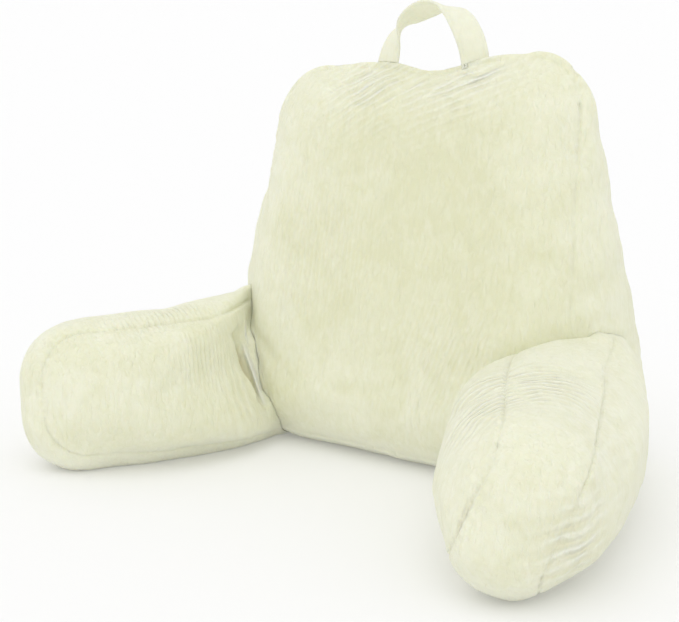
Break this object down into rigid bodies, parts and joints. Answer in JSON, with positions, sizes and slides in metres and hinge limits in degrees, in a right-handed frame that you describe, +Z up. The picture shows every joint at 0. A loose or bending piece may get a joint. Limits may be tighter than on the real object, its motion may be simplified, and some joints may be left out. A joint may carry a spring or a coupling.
{
  "type": "reading pillow",
  "caption": "Backrest pillow for sitting up in bed: a wedge-shaped back cushion with two bolster arms and a strap handle in its top seam.",
  "frame": {"origin": "middle of the back cushion's flat base, at floor level", "axes": "+Z up, -Y the way the sitter faces, +X to the sitter's left, which is the right side seen from the front"},
  "size_m": [0.7486, 0.5209, 0.5169],
  "materials": {
    "cover_plush": "short plush pile, matt with a soft sheen",
    "strap_plush": "short plush pile, matt"
  },
  "bodies": {
    "root": {"back_cushion": "cover_plush", "arm_left": "cover_plush", "arm_right": "cover_plush", "carry_handle": "strap_plush"}
  },
  "joints": []
}
